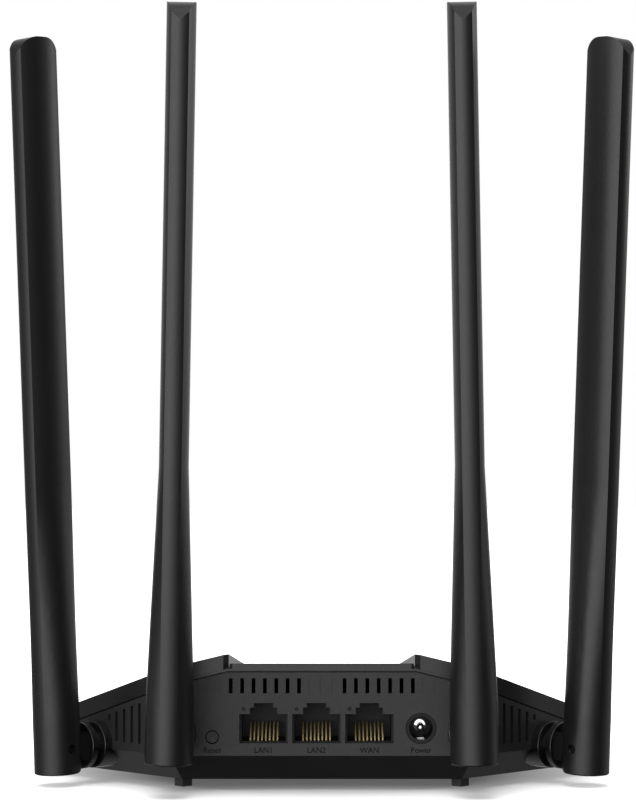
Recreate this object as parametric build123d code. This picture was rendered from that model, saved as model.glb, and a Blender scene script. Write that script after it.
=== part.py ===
from build123d import *
import math
import os

# Wireless router with four hinged antennas. Millimetres, +Z up.
# X runs along the port side, Y from the port side (0) to the front, Z from the table.
# ORIGIN_Y moves the finished parts so that the origin is under the middle of the whole object.
ORIGIN_Y = 39.8

# Case: plan outline, half of it
REAR_HALF = 40.0
SIDE_HALF = 76.0
NOSE_Y = 64.0
NOSE_HALF = 54.0
DEPTH = 104.0
TALL = 60.0

# Case: heights at the port side
FOOT_H = 2.2
BAND_TOP = 9.1
BAND_INSET = 6.9
PEAK_Z = 36.0
SLAB_DROP = 2.6
PART_DROP = 4.8
LEDGE = 0.75
SEAM = 0.4

# Case: the wings' steep rear facet and shallow front facet
RIDGE_X = 24.85
REAR_FALL = (0.243, 0.19)
FRONT_FALL = (0.10, 0.03)
FRONT_DROP = 13.5
CHANNEL_X = 24.6
CHANNEL_TAPER = 0.11
CHANNEL_GAP = 0.3
SLAB_BEVEL = 0.7
WING_BEVEL = 1.4
WING_SETBACK = 0.45

# Walls
WALL = 2.0
FLOOR = 2.0
LIP = 0.8
LIP_H = 1.2
TOP_WALL = 2.2

# Circuit board
PCB_TOP = 11.0
PCB_T = 1.6
PCB_HALF = [(33, 3.2), (33, 12), (58, 37), (66, 44), (66, 64), (48, 93)]

# Screws, each through the floor and board into a post of the cover
SCREWS = [(27.5, 27.0), (44.0, 74.0)]
SCREW_R = 1.4
SCREW_ABOVE = 4.2
HEAD_R = 2.6
HEAD_H = 1.5
POST_R = 3.2

# Feet
FEET = [(37.0, 10.4), (45.0, 90.0)]
FOOT_SIDE = 3.3

# Network sockets
PORTS = {"lan1": -15.35, "lan2": -1.4, "wan": 12.55}
PORT_STEPS = [(12.75, 12.4, 20.1), (7.24, 20.0, 21.8), (5.2, 21.7, 23.0)]
CAVITY_STEPS = [(11.7, 12.7, 19.8), (6.4, 19.7, 21.5), (4.4, 21.4, 22.7)]
JACK_FRONT = 2.1
JACK_DEEP = 15.0
JACK_SIDE = 7.9
JACK_TOP = 24.4
CAVITY_DEEP = 12.4
CONTACTS = 8
CONTACT_PITCH = 1.02
CONTACT_W = 0.5
CONTACT_T = 0.3
CONTACT_RISE = ((1.5, 12.95), (9.4, 16.8))
PORT_LED = (-5.2, 21.4, 0.55)

# Power socket
POWER = (26.15, 16.3)
POWER_NOSE_R = 4.0
POWER_BORE_R = 3.15
POWER_PIN_R = 1.0
POWER_HALF = 4.6
POWER_REAR = 13.5

# Reset button
RESET = (-28.9, 14.0)
RESET_R = 1.5
RESET_HOLE_R = 1.85
RESET_FLANGE_R = 2.5
RESET_TRAVEL = 0.5

# Vents
VENT_PITCH = 3.0
VENT_W = 1.0
VENT_Z = (25.5, 29.5)
OPEN_VENTS = range(2, 9)
BLIND_VENTS = [0, 1, 9, 10]
BLIND_DEEP = 0.2
SIDE_VENTS = [4.2, 6.42, 8.65, 10.86, 13.07, 15.28]
SIDE_VENT_Z = 11.3
SIDE_VENT_TOP = 25.8
SIDE_VENT_FALL = 0.425
STUB_VENT = (17.4, 16.9, 18.4)
FLOOR_VENTS = [(x, y) for x in (-24, -16, -8, 0, 8, 16, 24) for y in (48, 62)]

# Status light on the cover's channel
LIGHT_Y = 90.0
LIGHT_SIZE = (10.0, 1.4)

# Antenna hinges: seat on the case, direction the barrel points in plan, rest swivel and rest tilt
HINGE_OUT = 14.0
HINGES = {
    "inner_left": (-39.4, 0.0, 15.4, 0.0, 1.0, 1.4),
    "inner_right": (39.4, 0.0, 15.4, 0.0, -1.0, 1.4),
    "outer_left": (-60.9, 20.9, 10.1, -45.0, 0.0, 2.7),
    "outer_right": (60.9, 20.9, 10.1, 45.0, 0.0, 2.7),
}
BOSS_R = 6.34
BOSS_OUT = 2.5
BOSS_IN = 6.0
BORE_R = 4.68
NECK_R = 4.6
COLLAR_R = 6.3
COLLAR = (7.3, 9.4)
COLLAR_DISH = (5.7, 0.5)
RIM_R = 0.3
GROOVE_R = 3.9
CLIP_R = 5.2
CLIP_T = 0.9
BARREL_END = 22.3
CABLE_BORE_R = 1.5
TONGUE_W = 5.0
EYE_R = 4.4
NECK_H = 3.8
PIN_R = 1.0
PIN_BORE_R = 1.06
PIN_HALF = 5.2

# Antenna covers
BASE_R = 6.3
BELOW_PIVOT = 6.8
ABOVE_PIVOT = 189.6
BLADE_W = 13.2
BLADE_T = 7.7
EDGE_T = 4.6
EDGE_CROWN = 0.5
TIP_R = 5.4
ROUND_TO = 8.0
BLADE_FROM = 70.0
HEEL_R = 5.2
FOOT_EDGE = 0.35
SLOT_W = 5.3
SLOT_R = 4.9
CAVITY = (8.0, 3.2, 14.0, 180.0)
CORE = (5.0, 0.8, 30.0, 172.0)

# Antenna leads: from the barrel's bore round the posts to a solder block on the board, right-hand side
LEAD_R = 0.57
LEAD_BEND = 2.2
LEAD_ROUTES = {
    "inner": ((39.4, 5.0, 15.4), [(39.4, 15.0, 15.4), (36.0, 24.0, 13.2), (31.5, 31.0, 11.9), (25.6, 34.0, 11.9), (25.6, 37.4, 11.9)]),
    "outer": ((57.4, 24.4, 10.1), [(52.0, 29.8, 12.4), (47.0, 37.0, 13.0), (42.0, 44.5, 11.9), (38.0, 47.8, 11.9), (34.0, 47.8, 11.9)]),
}
SOLDER_BLOCKS = [(25.6, 38.9), (32.5, 47.8)]
SOLDER_SIZE = (3.0, 3.0, 1.8)

# Flat packages on the board: centres, then width, length and height
CHIPS = {
    "processor_chip": ([(0, 42)], (14, 14, 1.4)),
    "memory_chips": ([(-10, 56), (10, 56)], (8, 12, 1.1)),
    "radio_shields": ([(-32, 62), (32, 62)], (18, 16, 2.6)),
    "line_transformers": ([(-14, 24.5), (0, 24.5), (14, 24.5)], (11, 8, 3.0)),
    "power_inductors": ([(-8, 66), (8, 66)], (6, 6, 2.6)),
    "status_light": ([(0, LIGHT_Y)], (3.0, 1.2, 1.0)),
}
HEAT_SINK = (18, 18, 3.0)
CAPACITORS = [(25, 19.5), (31, 19.5)]
CAPACITOR_SIZE = (2.4, 5.0)


def block(x0, x1, y0, y1, z0, z1):
    """Box between two corners."""
    return Pos((x0 + x1) / 2, (y0 + y1) / 2, (z0 + z1) / 2) * Box(x1 - x0, y1 - y0, z1 - z0)


def rod(x, y0, y1, z, radius):
    """Cylinder along Y."""
    return Pos(x, (y0 + y1) / 2, z) * Rot(90, 0, 0) * Cylinder(radius, y1 - y0)


def post(x, y, z0, z1, radius):
    """Cylinder along Z."""
    return Pos(x, y, (z0 + z1) / 2) * Cylinder(radius, z1 - z0)


def both_sides(points):
    """The points and their mirror images in the middle plane."""
    return [(side * x, y) for x, y in points for side in (1, -1)]


def symmetric_face(half):
    """Closed polygon from its right half, listed from the rear to the front."""
    mirrored = [(-x, y) for x, y in reversed(half)]
    return Polygon(*half, *mirrored, align=None)


def outline(inset=0.0):
    """Plan outline of the case, moved inwards."""
    corner_y = SIDE_HALF - REAR_HALF
    face = symmetric_face([(REAR_HALF, 0), (SIDE_HALF, corner_y), (SIDE_HALF, NOSE_Y), (NOSE_HALF, DEPTH)])
    return offset(face, -inset, kind=Kind.INTERSECTION) if inset else face


def capped(column, drop, across):
    """The part of a column under the steep facet or the shallow one, drop below the peak."""
    top = None
    for height, fall in ((PEAK_Z, REAR_FALL), (PEAK_Z - FRONT_DROP, FRONT_FALL)):
        facet = Plane(origin=(RIDGE_X, 0, height - drop), z_dir=(across * fall[0], fall[1], 1))
        below = split(column, bisect_by=facet, keep=Keep.BOTTOM)
        top = below if top is None else top + below
    return top


def under(drop, inset=0.0):
    """The case outline filled up to drop below the wings' planes, level across the middle."""
    column = extrude(outline(inset), TALL)
    middle = capped(column & block(-RIDGE_X, RIDGE_X, -1, DEPTH + 1, -1, TALL), drop, 0)
    right = capped(column & block(RIDGE_X, SIDE_HALF + 1, -1, DEPTH + 1, -1, TALL), drop, 1)
    return middle + right + mirror(right, about=Plane.YZ)


def wing(drop, inset=0.0):
    """Right wing, from its converging inner wall out to the case's edge."""
    inner = [(CHANNEL_X + inset, inset), (CHANNEL_X - CHANNEL_TAPER * DEPTH + inset, DEPTH)]
    outer = [(SIDE_HALF + 1, DEPTH), (SIDE_HALF + 1, inset)]
    if not inset:
        inner = [(CHANNEL_X + WING_BEVEL, WING_SETBACK), (CHANNEL_X, WING_SETBACK + WING_BEVEL), inner[1]]
        outer = [(SIDE_HALF + 1, DEPTH), (SIDE_HALF + 1, WING_SETBACK)]
    plan = extrude(Polygon(*inner, *outer, align=None), TALL, dir=(0, 0, 1))
    return capped(plan & extrude(outline(inset), TALL), drop, 1)


def slab():
    """Raised plate in the channel between the wings."""
    rear = CHANNEL_X - CHANNEL_GAP
    front = rear - CHANNEL_TAPER * DEPTH
    plan = symmetric_face([(rear - SLAB_BEVEL, 0), (rear, SLAB_BEVEL), (front, DEPTH)])
    return capped(extrude(plan, TALL), SLAB_DROP, 0)


def top_cover():
    """Lid with two raised wings, a channel plate, screw posts and a slot for the status light."""
    right = wing(0)
    lid = under(PART_DROP - LEDGE) + slab() + right + mirror(right, about=Plane.YZ)
    lid -= under(PART_DROP - SEAM / 2)
    pocket = wing(TOP_WALL, WALL + 0.2)
    lid -= under(PART_DROP - SEAM / 2, WALL)
    lid -= pocket + mirror(pocket, about=Plane.YZ)
    lid -= under(PART_DROP - LIP_H - 0.2, 1.0) - extrude(outline(WALL + 0.2), TALL)
    for x, y in both_sides(SCREWS):
        stem = post(x, y, PCB_TOP + 0.1, TALL, POST_R) & under(TOP_WALL - 0.2, WALL)
        lid += stem
        lid -= post(x, y, 0, PCB_TOP + SCREW_ABOVE + 0.3, SCREW_R)
    wide, deep = LIGHT_SIZE
    lid -= block(-wide / 2, wide / 2, LIGHT_Y - deep / 2, LIGHT_Y + deep / 2, PCB_TOP + 2, TALL)
    return lid


def stepped(steps, x, y0, y1):
    """Socket profile, widest at the bottom, with the steps of the latch above it."""
    shape = None
    for wide, low, high in steps:
        layer = block(x - wide / 2, x + wide / 2, y0, y1, low, high)
        shape = layer if shape is None else shape + layer
    return shape


def on_slope(side, t, y0, y1, z0, z1, width):
    """Box through a slanted rear wall, t to the front of its corner."""
    turn = Pos(side * (REAR_HALF + t), t, 0) * Rot(0, 0, side * 45)
    return turn * block(-width / 2, width / 2, y0, y1, z0, z1)


def rear_openings():
    """Everything cut through the port wall."""
    cuts = [stepped(PORT_STEPS, x, -1, WALL + 1) for x in PORTS.values()]
    dx, z, radius = PORT_LED
    cuts += [rod(x + dx, -1, WALL + 1, z, radius) for x in PORTS.values()]
    cuts.append(rod(POWER[0], -1, WALL + 1, POWER[1], POWER_NOSE_R + 0.1))
    cuts.append(rod(RESET[0], -1, WALL + 1, RESET[1], RESET_HOLE_R))
    for index in OPEN_VENTS:
        for side in (1, -1):
            x = side * index * VENT_PITCH
            cuts.append(block(x - VENT_W / 2, x + VENT_W / 2, -1, WALL + 1, *VENT_Z))
    for index in BLIND_VENTS:
        for side in (1, -1) if index else (1,):
            x = side * index * VENT_PITCH
            cuts.append(block(x - VENT_W / 2, x + VENT_W / 2, -1, BLIND_DEEP, *VENT_Z))
    return cuts


def side_openings():
    """Vents in the two slanted rear walls."""
    cuts = []
    for side in (1, -1):
        for t in SIDE_VENTS:
            top = SIDE_VENT_TOP - SIDE_VENT_FALL * t
            cuts.append(on_slope(side, t, -1, WALL + 1, SIDE_VENT_Z, top, VENT_W))
        t, low, high = STUB_VENT
        cuts.append(on_slope(side, t, -1, WALL + 1, low, high, VENT_W))
    return cuts


def hinge_frame(name):
    """Location at the hinge's seat, its -Y along the barrel, outwards."""
    x, y, z, turn = HINGES[name][:4]
    return Pos(x, y, z) * Rot(0, 0, turn)


def rounded_slot(x, y, long, wide, z0, z1):
    """Vertical slot with round ends, along Y."""
    half = (long - wide) / 2
    ends = post(x, y - half, z0, z1, wide / 2) + post(x, y + half, z0, z1, wide / 2)
    return ends + block(x - wide / 2, x + wide / 2, y - half, y + half, z0, z1)


def bottom_shell():
    """Tub with an undercut band, port wall, seats for the hinge bushings, board posts and a lip for the cover."""
    low = Pos(0, 0, FOOT_H) * outline(BAND_INSET)
    high = Pos(0, 0, BAND_TOP) * outline()
    walls = under(PART_DROP + SEAM / 2) & block(-100, 100, -1, DEPTH + 1, BAND_TOP, TALL)
    tub = loft([low.face(), high.face()], ruled=True) + walls
    rise = BAND_INSET + 1.2 - WALL
    inside_low = Pos(0, 0, FOOT_H + FLOOR) * outline(BAND_INSET + 1.2)
    inside_high = Pos(0, 0, FOOT_H + FLOOR + rise) * outline(WALL)
    inside = loft([inside_low.face(), inside_high.face()], ruled=True)
    inside += Pos(0, 0, FOOT_H + FLOOR + rise) * extrude(outline(WALL), TALL)
    tub -= inside
    ring = under(PART_DROP - LIP_H, WALL - LIP) - extrude(outline(WALL), TALL)
    tub += ring & block(-100, 100, 0, DEPTH, BAND_TOP + 1, TALL)
    for name in HINGES:
        frame = hinge_frame(name)
        tub -= frame * rod(0, -BOSS_OUT - 1, BOSS_IN, 0, BOSS_R)
        tub -= frame * rod(0, BOSS_IN, BOSS_IN + 4, 0, CLIP_R + 0.4)
    for x, y in both_sides(SCREWS):
        tub += post(x, y, FOOT_H + FLOOR, PCB_TOP - PCB_T, HEAD_R + 1.2)
        tub -= post(x, y, 0, FOOT_H + FLOOR, HEAD_R + 0.2)
        tub -= post(x, y, 0, PCB_TOP, SCREW_R + 0.2)
    for cut in rear_openings() + side_openings():
        tub -= cut
    for x, y in FLOOR_VENTS:
        tub -= rounded_slot(x, y, 9.0, 1.6, 0, FOOT_H + FLOOR + 0.1)
    return tub


def main_board():
    """Circuit board that holds the sockets and chips."""
    board = Pos(0, 0, PCB_TOP - PCB_T) * extrude(symmetric_face(PCB_HALF), PCB_T)
    for x, y in both_sides(SCREWS):
        board -= post(x, y, 0, TALL, SCREW_R + 0.3)
    return board


def rubber_feet():
    """Four square posts, each set with a corner to the rear."""
    return [Pos(x, y, FOOT_H / 2) * Rot(0, 0, 45) * Box(FOOT_SIDE, FOOT_SIDE, FOOT_H)
            for x, y in both_sides(FEET)]


def housing_screws():
    """Pan-head screws that join floor, board and cover."""
    seat = FOOT_H + FLOOR
    screws = []
    for x, y in both_sides(SCREWS):
        shank = post(x, y, seat, PCB_TOP + SCREW_ABOVE, SCREW_R)
        head = post(x, y, seat - HEAD_H, seat, HEAD_R)
        recess = block(x - 1.4, x + 1.4, y - 0.3, y + 0.3, seat - HEAD_H, seat - HEAD_H + 0.7)
        recess += block(x - 0.3, x + 0.3, y - 1.4, y + 1.4, seat - HEAD_H, seat - HEAD_H + 0.7)
        screws.append(shank + head - recess)
    return screws


def contact_wires(x):
    """Eight sprung wires of one socket, each rising from the cavity floor to its back."""
    wires = []
    (front, low), (back, high) = CONTACT_RISE
    lowest, highest = (JACK_FRONT + front, low), (JACK_FRONT + back, high)
    for index in range(CONTACTS):
        across = x + (index - (CONTACTS - 1) / 2) * CONTACT_PITCH
        rise = Polygon(lowest, highest, (highest[0] + 3.6, highest[1]),
                       (highest[0] + 3.6, highest[1] - CONTACT_T),
                       (highest[0] + 0.2, highest[1] - CONTACT_T),
                       (lowest[0] + 0.2, lowest[1] - CONTACT_T), align=None)
        wire = extrude(Plane.YZ * rise, CONTACT_W / 2, both=True)
        wires.append(Pos(across, 0, 0) * wire)
    return wires


def ethernet_jack_block():
    """Moulded housing of the three network sockets."""
    left = min(PORTS.values()) - JACK_SIDE
    right = max(PORTS.values()) + JACK_SIDE
    body = block(left, right, JACK_FRONT, JACK_FRONT + JACK_DEEP, PCB_TOP, JACK_TOP)
    dx, z, radius = PORT_LED
    for x in PORTS.values():
        body -= stepped(CAVITY_STEPS, x, JACK_FRONT - 1, JACK_FRONT + CAVITY_DEEP)
        for wire in contact_wires(x):
            body -= wire
    return body


def port_light_windows():
    """Small clear rods that carry the link lights to the port wall."""
    dx, z, radius = PORT_LED
    return [rod(x + dx, 0.25, JACK_FRONT, z, radius - 0.02) for x in PORTS.values()]


def dc_jack_housing():
    """Power socket body with a round nose that fills its hole in the port wall."""
    x, z = POWER
    body = block(x - POWER_HALF, x + POWER_HALF, JACK_FRONT, POWER_REAR, PCB_TOP, z + POWER_HALF)
    body += rod(x, 0.35, JACK_FRONT, z, POWER_NOSE_R)
    body -= rod(x, 0, POWER_REAR - 2.5, z, POWER_BORE_R)
    body -= dc_jack_spring()
    return body - dc_jack_pin()


def dc_jack_pin():
    """Centre contact of the power socket, with its round collar at the back."""
    x, z = POWER
    tip = Pos(x, 2.6, z) * Sphere(POWER_PIN_R)
    base = rod(x, POWER_REAR - 2.9, POWER_REAR - 2.5, z, 1.7)
    return rod(x, 2.6, POWER_REAR - 1, z, POWER_PIN_R) + tip + base


def dc_jack_spring():
    """Leaf contact along the bottom of the power socket's bore."""
    x, z = POWER
    low = z - POWER_BORE_R
    return block(x - 0.9, x + 0.9, 3.4, POWER_REAR - 3.2, low - 0.1, low + 0.4)


def reset_button():
    """Push button with a stop flange behind the port wall and a stem to the switch."""
    x, z = RESET
    cap = rod(x, 0.1, 3.1, z, RESET_R)
    cap -= Pos(x, -9.85, z) * Sphere(10.0)
    flange = rod(x, WALL + 0.15, 3.1, z, RESET_FLANGE_R)
    return cap + flange + rod(x, 3.1, 6.0, z, 0.9)


def reset_plunger():
    """Moving tip of the reset switch."""
    x, z = RESET
    return rod(x, 6.0, 8.0, z, 1.1)


def reset_switch():
    """Side-push switch on the board."""
    x, z = RESET
    body = block(x - 3, x + 3, 6.8, 10.6, PCB_TOP, z + 2.4)
    return body - rod(x, 6, 8.0 + RESET_TRAVEL + 0.3, z, 1.2)


def chip(x, y, wide, long, high):
    """Flat package on the board with a small bevel round its top."""
    body = block(x - wide / 2, x + wide / 2, y - long / 2, y + long / 2, PCB_TOP, PCB_TOP + high)
    return chamfer(body.faces().sort_by(Axis.Z)[-1].edges(), 0.2)


def heat_sink():
    """Plain block on top of the processor."""
    places, size = CHIPS["processor_chip"]
    return Pos(0, 0, size[2]) * chip(*places[0], *HEAT_SINK)


def can(x, y, radius, high):
    """Round component standing on the board."""
    body = post(x, y, PCB_TOP, PCB_TOP + high, radius)
    return fillet(body.edges().sort_by(Axis.Z)[-1], 0.4)


def status_light_guide():
    """Clear bar from the status light up to the channel plate."""
    wide, deep = LIGHT_SIZE
    top = PEAK_Z - FRONT_DROP - SLAB_DROP - FRONT_FALL[1] * LIGHT_Y
    return block(-wide / 2 + 0.05, wide / 2 - 0.05, LIGHT_Y - deep / 2 + 0.05, LIGHT_Y + deep / 2 - 0.05,
                 PCB_TOP + 1.2, top - 0.1)


def hinge_bushing():
    """Glossy ring pressed through the case wall, in which the barrel turns."""
    ring = rod(0, -BOSS_OUT, BOSS_IN, 0, BOSS_R)
    ring = fillet(ring.edges().filter_by(GeomType.CIRCLE).sort_by(Axis.Y)[0], RIM_R)
    return ring - rod(0, -BOSS_OUT - 1, BOSS_IN + 1, 0, BORE_R)


def hinge_barrel():
    """Swivel barrel: collar, neck through the case, clip groove and a flat tongue with an eye."""
    near, far = COLLAR
    case = HINGE_OUT
    dish, deep = COLLAR_DISH
    body = fillet(rod(0, near, far, 0, COLLAR_R).edges().filter_by(GeomType.CIRCLE), RIM_R)
    body -= rod(0, near - 1, near + deep, 0, dish)
    body += rod(0, far, case + BOSS_IN + 0.1, 0, NECK_R)
    body += rod(0, case + BOSS_IN + 0.1, BARREL_END - 0.9, 0, GROOVE_R)
    body += rod(0, BARREL_END - 0.9, BARREL_END, 0, NECK_R)
    tongue = block(-TONGUE_W / 2, TONGUE_W / 2, 0, near + deep, -NECK_H, NECK_H)
    tongue += Rot(0, 90, 0) * Cylinder(EYE_R, TONGUE_W)
    body += tongue
    body -= Rot(0, 90, 0) * Cylinder(PIN_BORE_R, TONGUE_W + 1)
    return body - rod(0, near - 1.5, BARREL_END + 1, 0, CABLE_BORE_R)


def barrel_clip():
    """Open spring ring that holds the barrel in its boss."""
    start = HINGE_OUT + BOSS_IN + 0.25
    ring = rod(0, start, start + CLIP_T, 0, CLIP_R) - rod(0, start, start + CLIP_T, 0, GROOVE_R + 0.02)
    return ring - block(-1.6, 1.6, start, start + CLIP_T, -CLIP_R - 1, 0)


def hinge_pin():
    """Steel pin across the antenna's fork."""
    return chamfer((Rot(0, 90, 0) * Cylinder(PIN_R, 2 * PIN_HALF)).edges(), 0.15)


def bowed_section(height, share):
    """Section between the round foot, share 0, and the flat blade, share 1."""
    edge = EDGE_T / 2
    corner = (1 - share) * math.sqrt(BASE_R ** 2 - edge ** 2) + share * (BLADE_W / 2 - EDGE_CROWN)
    crown = (1 - share) * BASE_R + share * BLADE_W / 2
    bow = (1 - share) * BASE_R + share * BLADE_T / 2
    lines = [
        ThreePointArc((edge, -corner), (bow, 0), (edge, corner)),
        ThreePointArc((edge, corner), (0, crown), (-edge, corner)),
        ThreePointArc((-edge, corner), (-bow, 0), (-edge, -corner)),
        ThreePointArc((-edge, -corner), (0, -crown), (edge, -corner)),
    ]
    return Pos(0, 0, height) * make_face(Curve() + lines)


def antenna_blank():
    """Solid antenna: round foot, smooth change to a flat blade, arched tip."""
    foot = Pos(0, 0, (ROUND_TO - BELOW_PIVOT) / 2) * Cylinder(BASE_R, ROUND_TO + BELOW_PIVOT)
    foot = fillet(foot.edges().sort_by(Axis.Z)[0], FOOT_EDGE)
    steps = 4
    sections = []
    for index in range(steps + 1):
        share = index / steps
        height = ROUND_TO + (BLADE_FROM - ROUND_TO) * share
        sections.append(bowed_section(height, share))
    change = loft(sections)
    blade = extrude(bowed_section(BLADE_FROM, 1), ABOVE_PIVOT - BLADE_FROM)
    arch = Pos(0, 0, (ABOVE_PIVOT - 20) / 2) * Box(40, BLADE_W + 0.04, ABOVE_PIVOT + 20)
    arch = fillet(arch.edges().filter_by(Axis.X).group_by(Axis.Z)[-1], TIP_R)
    return foot + change + (blade & arch)


def antenna_cover():
    """Antenna shell: the blank with its fork slot, rounded heel, pin holes and inner cavity."""
    body = antenna_blank()
    heel_y, heel_z = BASE_R + 0.05 - HEEL_R, HEEL_R - BELOW_PIVOT
    heel = block(-20, 20, heel_y, 20, -20, heel_z) - Pos(0, heel_y, heel_z) * Rot(0, 90, 0) * Cylinder(HEEL_R, 40)
    body -= heel
    slot = Rot(0, 90, 0) * Cylinder(SLOT_R, SLOT_W)
    slot += block(-SLOT_W / 2, SLOT_W / 2, 0, 20, -20, SLOT_R)
    slot += block(-SLOT_W / 2, SLOT_W / 2, -SLOT_R, 20, -20, 0)
    body -= slot
    body -= Rot(0, 90, 0) * Cylinder(PIN_R, 2 * PIN_HALF)
    body -= Pos(PIN_HALF + 5, 0, 0) * Rot(0, 90, 0) * Cylinder(1.25, 10)
    body -= Pos(-PIN_HALF - 5, 0, 0) * Rot(0, 90, 0) * Cylinder(1.25, 10)
    wide, thick, low, high = CAVITY
    body -= block(-thick / 2, thick / 2, -wide / 2, wide / 2, low, high)
    return body - post(0, 0, 0, low + 1, CABLE_BORE_R)


def antenna_core():
    """Radiating strip inside the antenna."""
    wide, thick, low, high = CORE
    strip = block(-thick / 2, thick / 2, -wide / 2, wide / 2, low, high)
    gap = block(-1, 1, -wide, wide, (low + high) / 2 - 1.5, (low + high) / 2 + 1.5)
    carrier = block(-CAVITY[1] / 2, CAVITY[1] / 2, -0.6, 0.6, CAVITY[2], low + 4)
    return (strip - gap) + carrier + block(-thick / 2, thick / 2, -0.8, 0.8, low, high)


def antenna_lead(side, start, turns):
    """Thin coaxial lead from a hinge's bore to its solder block on the board."""
    points = [start, *turns]
    points = [(side * x, y, z) for x, y, z in points]
    path = FilletPolyline(*points, radius=LEAD_BEND)
    return sweep(Plane(path @ 0, z_dir=path % 0) * Circle(LEAD_R), path)


def hinge_location(name):
    """Location of an antenna's pivot with the antenna upright."""
    return hinge_frame(name) * Pos(0, -HINGE_OUT, 0)


def swivelled(name):
    """The pivot's location with the swivel at its rest angle."""
    return hinge_location(name) * Rot(0, HINGES[name][4], 0)


def antenna_location(name):
    """The pivot's location with swivel and tilt at their rest angles."""
    return swivelled(name) * Rot(HINGES[name][5], 0, 0)


def sub_parts():
    """Every named sub-part in the case's coordinates."""
    parts = {
        "top_cover": top_cover(),
        "bottom_shell": bottom_shell(),
        "main_board": main_board(),
        "rubber_feet": rubber_feet(),
        "housing_screws": housing_screws(),
        "ethernet_jack_block": ethernet_jack_block(),
        "port_light_windows": port_light_windows(),
        "dc_jack_housing": dc_jack_housing(),
        "dc_jack_pin": dc_jack_pin(),
        "dc_jack_spring": dc_jack_spring(),
        "reset_button": reset_button(),
        "reset_plunger": reset_plunger(),
        "reset_switch": reset_switch(),
        "processor_heat_sink": heat_sink(),
        "power_capacitors": [can(x, y, *CAPACITOR_SIZE) for x, y in CAPACITORS],
        "lead_solder_blocks": [chip(side * x, y, *SOLDER_SIZE) for x, y in SOLDER_BLOCKS for side in (1, -1)],
        "status_light_guide": status_light_guide(),
    }
    for name, (places, size) in CHIPS.items():
        chips = [chip(x, y, *size) for x, y in places]
        parts[name] = chips if len(chips) > 1 else chips[0]
    for name, x in PORTS.items():
        parts[name + "_contacts"] = contact_wires(x)
    for name in HINGES:
        kind, side_name = name.split("_")
        side = 1 if side_name == "right" else -1
        start, turns = LEAD_ROUTES[kind]
        parts["antenna_lead_" + name] = antenna_lead(side, start, turns)
        parts["hinge_bushing_" + name] = hinge_frame(name) * hinge_bushing()
        parts["hinge_barrel_" + name] = swivelled(name) * hinge_barrel()
        parts["barrel_clip_" + name] = swivelled(name) * barrel_clip()
        parts["hinge_pin_" + name] = antenna_location(name) * hinge_pin()
        parts["antenna_cover_" + name] = antenna_location(name) * antenna_cover()
        parts["antenna_core_" + name] = antenna_location(name) * antenna_core()
    return parts


def write_all():
    """Write one STEP file per sub-part, moved to the object's own origin."""
    os.makedirs("parts", exist_ok=True)
    for name, shape in sub_parts().items():
        whole = Compound(children=shape) if isinstance(shape, list) else shape
        export_step(Pos(0, -ORIGIN_Y, 0) * whole, f"parts/{name}.step")


write_all()
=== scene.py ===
import math

import bpy
from mathutils import Matrix, Vector


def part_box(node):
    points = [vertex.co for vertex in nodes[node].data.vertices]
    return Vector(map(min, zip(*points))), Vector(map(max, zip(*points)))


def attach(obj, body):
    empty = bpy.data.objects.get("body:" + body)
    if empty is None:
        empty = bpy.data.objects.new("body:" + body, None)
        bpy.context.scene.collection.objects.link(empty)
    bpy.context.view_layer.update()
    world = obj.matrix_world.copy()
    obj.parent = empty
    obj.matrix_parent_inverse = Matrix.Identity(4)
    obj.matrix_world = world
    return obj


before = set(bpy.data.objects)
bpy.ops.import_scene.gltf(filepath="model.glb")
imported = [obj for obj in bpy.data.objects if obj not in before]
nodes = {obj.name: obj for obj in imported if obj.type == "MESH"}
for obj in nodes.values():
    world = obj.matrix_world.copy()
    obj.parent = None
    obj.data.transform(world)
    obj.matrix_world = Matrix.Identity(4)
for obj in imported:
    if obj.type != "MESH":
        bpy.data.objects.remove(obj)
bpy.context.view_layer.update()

MM = 0.001

# ---------------------------------------------------------------- camera
# The port wall's Y. The camera looks at the wall almost square on, from above the case's height. Its distance and
# height are in metres, its lens in millimetres and its turns in degrees.
PORT_WALL_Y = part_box("top_cover")[0].y
CAMERA_BACK = 0.700
CAMERA_HEIGHT = 0.087
LENS = 78.55
SENSOR = 24
PITCH = 1.189
YAW = 0.082


def make_camera():
    """Long lens behind the ports, a little above the lid."""
    data = bpy.data.cameras.new("studio_camera")
    data.sensor_fit = "VERTICAL"
    data.sensor_height = SENSOR
    data.lens = LENS
    data.clip_start = 0.01
    camera = bpy.data.objects.new("studio_camera", data)
    camera.location = (0, PORT_WALL_Y - CAMERA_BACK, CAMERA_HEIGHT)
    camera.rotation_euler = (math.radians(90 + PITCH), 0, math.radians(YAW))
    bpy.context.collection.objects.link(camera)
    bpy.context.scene.camera = camera


# ---------------------------------------------------------------- materials
def new_material(name, rough, metal=0.0):
    """Empty principled material and its node tree."""
    material = bpy.data.materials.new(name)
    material.use_nodes = True
    tree = material.node_tree
    shader = tree.nodes["Principled BSDF"]
    shader.inputs["Roughness"].default_value = rough
    shader.inputs["Metallic"].default_value = metal
    return material, tree, shader


# ---------------------------------------------------------------- studio
# Brightness of the room by direction, in degrees round from the port side, right positive.
ROUND_LIGHT = [(-180, 2.0), (-160, 0.65), (-125, 0.22), (-92, 0.25), (-66, 0.95), (-42, 2.9), (-18, 2.9), (0, 1.9),
               (14, 0.85), (30, 0.20), (62, 0.05), (84, 0.28), (108, 0.60), (132, 0.40), (160, 0.6), (180, 2.0)]
# The same by height, as the sine of the elevation.
HEIGHT_LIGHT = [(-1.0, 0.02), (-0.55, 0.06), (-0.30, 0.25), (-0.08, 1.0), (0.25, 1.0), (0.6, 0.7), (1.0, 0.7)]
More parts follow.
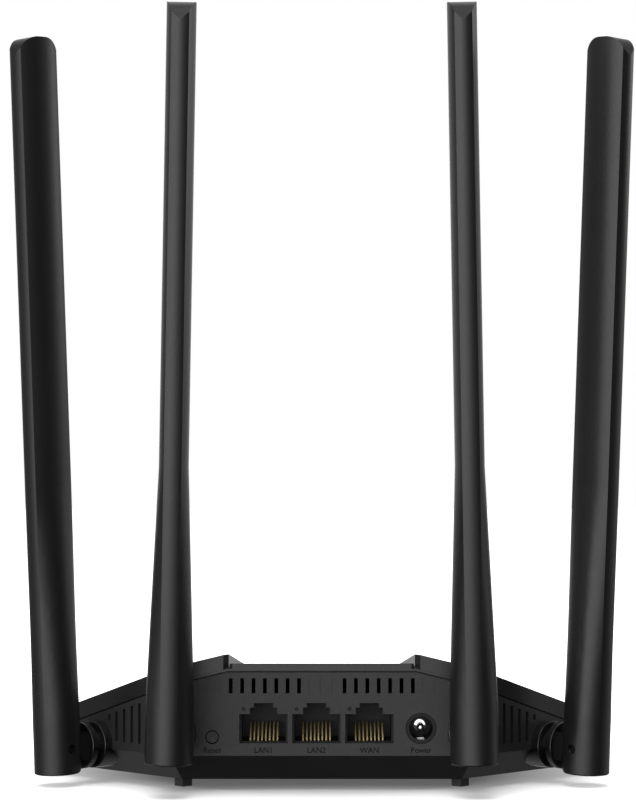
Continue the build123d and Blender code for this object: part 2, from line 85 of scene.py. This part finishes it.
# Light thrown back by the pale table, from low down at each side.
TABLE_ROUND = [(-180, 0.0), (-160, 0.45), (-125, 0.5), (-95, 0.1), (-80, 0.0), (80, 0.0), (95, 0.1), (125, 0.35),
               (160, 0.3), (180, 0.0)]
TABLE_HEIGHT = [(-0.95, 0.0), (-0.8, 0.8), (-0.65, 1.0), (-0.45, 0.7), (-0.25, 0.0)]
BRIGHTEST = 3.0


def grey_ramp(tree, source, stops, top):
    """Grey ramp through (position, value) stops, values divided by top."""
    node = tree.nodes.new("ShaderNodeValToRGB")
    ramp = node.color_ramp
    while len(ramp.elements) < len(stops):
        ramp.elements.new(0.5)
    for element, (position, value) in zip(ramp.elements, stops):
        element.position = position
        element.color = (value / top, value / top, value / top, 1)
    tree.links.new(source, node.inputs[0])
    return node.outputs[0]


def math_node(tree, operation, *values):
    """Math node whose inputs are sockets or numbers."""
    node = tree.nodes.new("ShaderNodeMath")
    node.operation = operation
    for slot, value in zip(node.inputs, values):
        if isinstance(value, (int, float)):
            slot.default_value = value
        else:
            tree.links.new(value, slot)
    return node.outputs[0]


def make_world():
    """Plain white behind the object, which is lit by a soft room, brightest at the left of the port side."""
    world = bpy.data.worlds.new("studio_white")
    world.use_nodes = True
    bpy.context.scene.world = world
    tree = world.node_tree
    tree.nodes.clear()
    where = tree.nodes.new("ShaderNodeTexCoord")
    split = tree.nodes.new("ShaderNodeSeparateXYZ")
    tree.links.new(where.outputs["Generated"], split.inputs[0])
    x, y, z = split.outputs
    turn = math_node(tree, "ARCTAN2", x, math_node(tree, "MULTIPLY", y, -1.0))
    turn = math_node(tree, "MULTIPLY_ADD", turn, 0.5 / math.pi, 0.5)
    height = math_node(tree, "MULTIPLY_ADD", z, 0.5, 0.5)
    around = grey_ramp(tree, turn, [(0.5 + a / 360, v) for a, v in ROUND_LIGHT], BRIGHTEST)
    upward = grey_ramp(tree, height, [(0.5 + 0.5 * h, v) for h, v in HEIGHT_LIGHT], 1.0)
    table = math_node(tree, "MULTIPLY", grey_ramp(tree, turn, [(0.5 + a / 360, v) for a, v in TABLE_ROUND], 1.0),
                      grey_ramp(tree, height, [(0.5 + 0.5 * h, v) for h, v in TABLE_HEIGHT], 1.0))
    walls = math_node(tree, "MULTIPLY", around, math_node(tree, "MULTIPLY", upward, BRIGHTEST))
    room = tree.nodes.new("ShaderNodeBackground")
    tree.links.new(math_node(tree, "ADD", walls, table), room.inputs["Strength"])
    white = tree.nodes.new("ShaderNodeBackground")
    path = tree.nodes.new("ShaderNodeLightPath")
    mix = tree.nodes.new("ShaderNodeMixShader")
    out = tree.nodes.new("ShaderNodeOutputWorld")
    room.inputs["Color"].default_value = (1, 1, 1, 1)
    white.inputs["Color"].default_value = (1, 1, 1, 1)
    tree.links.new(path.outputs["Is Camera Ray"], mix.inputs[0])
    tree.links.new(room.outputs[0], mix.inputs[1])
    tree.links.new(white.outputs[0], mix.inputs[2])
    tree.links.new(mix.outputs[0], out.inputs[0])


def make_studio():
    """Pale floor, a wide lamp overhead and a small rim lamp at the right."""
    bpy.context.scene.view_settings.view_transform = "Standard"
    make_world()
    bpy.ops.mesh.primitive_plane_add(size=8, location=(0, 0, 0))
    floor = bpy.context.object
    floor.name = "floor"
    floor.data.materials.append(floor_material())
    floor.visible_diffuse = False
    floor.visible_glossy = False
    lamps = (
        ("overhead_softbox", (-0.1, 0.1, 1.1), (0, 0, 0), 1.2, 40.0, False),
        ("right_rim", (0.8, 0.45, 0.35), (0, 0, 0.08), 0.30, 0.5, True),
    )
    for name, place, target, size, power, glossy in lamps:
        data = bpy.data.lights.new(name, "AREA")
        data.size = size
        data.energy = power
        data.use_shadow = not glossy
        lamp = bpy.data.objects.new(name, data)
        lamp.location = place
        lamp.rotation_euler = (Vector(target) - Vector(place)).to_track_quat("-Z", "Y").to_euler()
        lamp.visible_glossy = glossy
        bpy.context.collection.objects.link(lamp)


def floor_material():
    """Matte floor that takes the lamp's soft shadow near the object, deepened by painted shade where its glow is
    dimmed round the object, and glows evenly white further out.
    """
    material, tree, shader = new_material("studio_floor", 1.0)
    shader.inputs["Base Color"].default_value = (0.36, 0.36, 0.36, 1)
    shader.inputs["Specular IOR Level"].default_value = 0
    shader.inputs["Emission Color"].default_value = (1, 1, 1, 1)
    where = tree.nodes.new("ShaderNodeTexCoord")
    length = tree.nodes.new("ShaderNodeVectorMath")
    length.operation = "LENGTH"
    tree.links.new(where.outputs["Object"], length.inputs[0])
    # Painted shade: the floor's glow is weak within a few centimetres of the object and rises to full white
    # further out.
    glow_dimmed_near_object = tree.nodes.new("ShaderNodeMapRange")
    for label, value in (("From Min", 0.045), ("From Max", 0.125), ("To Min", 0.11), ("To Max", 1.1)):
        glow_dimmed_near_object.inputs[label].default_value = value
    tree.links.new(length.outputs["Value"], glow_dimmed_near_object.inputs["Value"])
    tree.links.new(glow_dimmed_near_object.outputs[0], shader.inputs["Emission Strength"])
    return material


def noise(tree, scale, detail, rough=0.6):
    """Noise on Object coordinates."""
    where = tree.nodes.new("ShaderNodeTexCoord")
    texture = tree.nodes.new("ShaderNodeTexNoise")
    texture.inputs["Scale"].default_value = scale
    texture.inputs["Detail"].default_value = detail
    texture.inputs["Roughness"].default_value = rough
    tree.links.new(where.outputs["Object"], texture.inputs["Vector"])
    return texture.outputs["Fac"]


def ramp_between(tree, source, low, high):
    """Colour from low to high as the source goes from 0.3 to 0.7."""
    node = tree.nodes.new("ShaderNodeValToRGB")
    node.color_ramp.elements[0].position = 0.3
    node.color_ramp.elements[1].position = 0.7
    node.color_ramp.elements[0].color = (*low, 1)
    node.color_ramp.elements[1].color = (*high, 1)
    tree.links.new(source, node.inputs[0])
    return node.outputs[0]


def range_between(tree, source, low, high):
    """Number from low to high as the source goes from 0.3 to 0.7."""
    node = tree.nodes.new("ShaderNodeMapRange")
    node.inputs["From Min"].default_value = 0.3
    node.inputs["From Max"].default_value = 0.7
    node.inputs["To Min"].default_value = low
    node.inputs["To Max"].default_value = high
    tree.links.new(source, node.inputs["Value"])
    return node.outputs[0]


def bump(tree, shader, source, strength, distance):
    """Relief from a height source."""
    node = tree.nodes.new("ShaderNodeBump")
    node.inputs["Strength"].default_value = strength
    node.inputs["Distance"].default_value = distance
    tree.links.new(source, node.inputs["Height"])
    tree.links.new(node.outputs[0], shader.inputs["Normal"])


def moulded_plastic(name, dark, light, rough, grain, relief):
    """Injection-moulded plastic with spark-eroded grain and faint cloudiness."""
    material, tree, shader = new_material(name, rough)
    cloud = noise(tree, 40, 2)
    fine = noise(tree, grain, 4, 0.7)
    tree.links.new(ramp_between(tree, cloud, dark, light), shader.inputs["Base Color"])
    tree.links.new(range_between(tree, fine, rough - 0.05, rough + 0.06), shader.inputs["Roughness"])
    bump(tree, shader, fine, relief, 0.00008)
    return material


def plain_metal(name, colour, rough, metal=1.0):
    """Metal with fine tarnish."""
    material, tree, shader = new_material(name, rough, metal)
    fine = noise(tree, 500, 3)
    darker = tuple(0.8 * c for c in colour)
    tree.links.new(ramp_between(tree, fine, darker, colour), shader.inputs["Base Color"])
    tree.links.new(range_between(tree, fine, rough * 0.8, rough * 1.25), shader.inputs["Roughness"])
    return material


# Sizes in millimetres: the socket wires' spacing, the reach of the painted highlight on the pin's collar, and the
# pin's shaft.
WIRE_PITCH = 1.02
# Colours of the socket wires: painted shade at each wire's edges, plain gold along its middle.
WIRE_PAINTED_EDGE_SHADE = (0.10, 0.065, 0.02)
WIRE_MIDDLE = (1.0, 0.80, 0.40)
PAINTED_HIGHLIGHT_R = 1.4
SHAFT_R = 1.02


def object_axes(tree):
    """X, Y and Z of the Object coordinates."""
    where = tree.nodes.new("ShaderNodeTexCoord")
    split = tree.nodes.new("ShaderNodeSeparateXYZ")
    tree.links.new(where.outputs["Object"], split.inputs[0])
    return split.outputs


def sprung_wire(name):
    """Gold wires side by side, with painted shade at each wire's edges so the flat wires look round, and painted
    shade growing from the bottom of the wires to the top.
    """
    material, tree, shader = new_material("wire_gold_" + name, 0.30, 0.25)
    low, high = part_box(name)
    x, y, z = object_axes(tree)
    across = math_node(tree, "SUBTRACT", x, (low.x + high.x) / 2 - 20 * WIRE_PITCH * MM)
    across = math_node(tree, "FRACT", math_node(tree, "DIVIDE", across, WIRE_PITCH * MM))
    # Painted shade: each wire's edges are darkened and its middle left gold, so the square wires read as round.
    painted_rounding = tree.nodes.new("ShaderNodeValToRGB")
    for element, position in zip(painted_rounding.color_ramp.elements, (0.30, 0.40)):
        element.position = position
    for position in (0.60, 0.70):
        painted_rounding.color_ramp.elements.new(position)
    for element, colour in zip(painted_rounding.color_ramp.elements, (WIRE_PAINTED_EDGE_SHADE, WIRE_MIDDLE, WIRE_MIDDLE, WIRE_PAINTED_EDGE_SHADE)):
        element.color = (*colour, 1)
    tree.links.new(across, painted_rounding.inputs[0])
    # Painted shade: the wire colour is scaled down from full at the bottom of the wires to under half at their
    # top.
    painted_top_shade = tree.nodes.new("ShaderNodeMapRange")
    for label, value in (("From Min", low.z), ("From Max", high.z), ("To Min", 1.0), ("To Max", 0.45)):
        painted_top_shade.inputs[label].default_value = value
    tree.links.new(z, painted_top_shade.inputs["Value"])
    shade = tree.nodes.new("ShaderNodeVectorMath")
    shade.operation = "SCALE"
    tree.links.new(painted_rounding.outputs[0], shade.inputs[0])
    tree.links.new(painted_top_shade.outputs[0], shade.inputs["Scale"])
    tree.links.new(shade.outputs[0], shader.inputs["Base Color"])
    tree.links.new(range_between(tree, noise(tree, 3000, 2), 0.26, 0.34), shader.inputs["Roughness"])
    return material


def collared_pin(name):
    """Nickel pin whose collar carries a painted highlight, bright above and close round the pin, and near-black
    painted shade further out and below.
    """
    material, tree, shader = new_material("pin_painted_crescent", 0.12, 1.0)
    low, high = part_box(name)
    x, y, z = object_axes(tree)
    aside = math_node(tree, "SUBTRACT", x, (low.x + high.x) / 2)
    above = math_node(tree, "SUBTRACT", z, (low.z + high.z) / 2)
    distance = math_node(tree, "SQRT", math_node(tree, "ADD", math_node(tree, "MULTIPLY", aside, aside),
                                                 math_node(tree, "MULTIPLY", above, above)))
    # Painted highlight: the collar is bright only close round the pin and above its middle; elsewhere it is
    # near-black painted shade. The shaft keeps its own bright nickel.
    inside = math_node(tree, "LESS_THAN", distance, PAINTED_HIGHLIGHT_R * MM)
    upper = math_node(tree, "GREATER_THAN", above, -0.1 * MM)
    shaft = math_node(tree, "LESS_THAN", distance, SHAFT_R * MM)
    painted_crescent_and_shaft = math_node(tree, "MAXIMUM", math_node(tree, "MULTIPLY", inside, upper), shaft)
    tree.links.new(ramp_between(tree, painted_crescent_and_shaft, (0.03, 0.03, 0.03), (0.85, 0.85, 0.86)), shader.inputs["Base Color"])
    tree.links.new(range_between(tree, noise(tree, 2000, 2), 0.10, 0.16), shader.inputs["Roughness"])
    return material


def set_material(names, material):
    """Give CAD nodes a material in place of their packed one."""
    for name in names:
        for slot in nodes[name].material_slots:
            slot.material = material


def starting_with(prefix):
    """CAD nodes whose names begin so."""
    return [name for name in nodes if name.startswith(prefix)]


def finish_cad_nodes():
    """Finishes for every carried-over CAD node."""
    case = moulded_plastic("case_black", (0.010, 0.010, 0.010), (0.015, 0.015, 0.015), 0.50, 2200, 0.8)
    lid = moulded_plastic("lid_black", (0.010, 0.010, 0.010), (0.013, 0.013, 0.013), 0.32, 2200, 0.15)
    satin = moulded_plastic("antenna_black", (0.006, 0.006, 0.006), (0.008, 0.008, 0.008), 0.36, 2000, 0.35)
    gloss = moulded_plastic("hinge_black", (0.005, 0.005, 0.005), (0.007, 0.007, 0.007), 0.20, 1500, 0.05)
    socket = moulded_plastic("socket_black", (0.004, 0.004, 0.004), (0.006, 0.006, 0.006), 0.45, 2400, 0.15)
    socket.node_tree.nodes["Principled BSDF"].inputs["Specular IOR Level"].default_value = 0.25
    rubber = moulded_plastic("foot_black", (0.022, 0.022, 0.022), (0.028, 0.028, 0.028), 0.75, 1800, 0.4)
    board = moulded_plastic("board_green", (0.01, 0.09, 0.035), (0.015, 0.12, 0.05), 0.35, 700, 0.1)
    package = moulded_plastic("package_black", (0.02, 0.02, 0.022), (0.03, 0.03, 0.032), 0.6, 1500, 0.2)
    jacket = moulded_plastic("lead_black", (0.02, 0.02, 0.02), (0.026, 0.026, 0.026), 0.4, 900, 0.1)
    clear = moulded_plastic("guide_clear", (0.55, 0.57, 0.58), (0.62, 0.64, 0.65), 0.25, 600, 0.05)
    gold = plain_metal("core_gold", (1.0, 0.70, 0.24), 0.28, 0.45)
    pin_steel = plain_metal("pin_steel", (0.06, 0.06, 0.06), 0.30)
    chrome = plain_metal("pin_nickel", (0.85, 0.85, 0.86), 0.12)
    steel = plain_metal("screw_steel", (0.45, 0.45, 0.46), 0.32)
    tin = plain_metal("shield_tin", (0.62, 0.62, 0.63), 0.38)
    set_material(["bottom_shell", "reset_button", "reset_plunger"], case)
    set_material(["top_cover"], lid)
    set_material(starting_with("antenna_cover"), satin)
    set_material(starting_with("hinge_b"), gloss)
    set_material(["ethernet_jack_block", "dc_jack_housing", "reset_switch", "port_light_windows"], socket)
    set_material(["rubber_feet"], rubber)
    set_material(["main_board"], board)
    set_material(["processor_chip", "memory_chips", "line_transformers", "power_inductors"], package)
    set_material(starting_with("antenna_lead"), jacket)
    set_material(["status_light_guide", "status_light"], clear)
    set_material(starting_with("antenna_core"), gold)
    for name in ("lan1_contacts", "lan2_contacts", "wan_contacts"):
        set_material([name], sprung_wire(name))
    set_material(["dc_jack_spring"], chrome)
    set_material(["dc_jack_pin"], collared_pin("dc_jack_pin"))
    set_material(starting_with("hinge_pin"), pin_steel)
    set_material(["housing_screws"] + starting_with("barrel_clip"), steel)
    set_material(["processor_heat_sink", "radio_shields", "power_capacitors", "lead_solder_blocks"], tin)


# ---------------------------------------------------------------- lettering
# Word, then its centre along the port wall and its middle height. Sizes here are in millimetres.
WORDS = [("Reset", -28.9, 10.6), ("LAN1", -15.35, 10.6), ("LAN2", -1.4, 10.6), ("WAN", 12.55, 10.6),
         ("Power", 26.15, 10.6)]
WORD_SIZE = 2.05
INK = 0.015


def word_mesh(word, x, z):
    """Flat raised word on the port wall."""
    data = bpy.data.curves.new("word", "FONT")
    data.body = word
    data.size = WORD_SIZE * MM
    data.align_x = "CENTER"
    data.extrude = INK / 2 * MM
    data.offset = 0.020 * MM
    data.resolution_u = 3
    text = bpy.data.objects.new("word", data)
    bpy.context.collection.objects.link(text)
    bpy.context.view_layer.update()
    mesh = bpy.data.meshes.new_from_object(text.evaluated_get(bpy.context.evaluated_depsgraph_get()))
    bpy.data.objects.remove(text)
    turn = Matrix.Rotation(math.radians(90), 4, "X")
    place = Matrix.Translation((x * MM, PORT_WALL_Y - INK / 2 * MM, (z - 0.34 * WORD_SIZE) * MM))
    mesh.transform(place @ turn)
    return mesh


def make_lettering():
    """Plain words for what each socket and button is for."""
    ink, tree, shader = new_material("ink_grey", 0.6)
    shader.inputs["Specular IOR Level"].default_value = 0.08
    cloud = noise(tree, 1200, 2)
    colour = ramp_between(tree, cloud, (0.002, 0.002, 0.002), (0.005, 0.005, 0.005))
    tree.links.new(colour, shader.inputs["Base Color"])
    for word, x, z in WORDS:
        mesh = word_mesh(word, x, z)
        mesh.materials.clear()
        mesh.materials.append(ink)
        label = bpy.data.objects.new("label_" + word.lower(), mesh)
        bpy.context.collection.objects.link(label)
        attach(label, "housing")


make_camera()
make_studio()
finish_cad_nodes()
make_lettering()
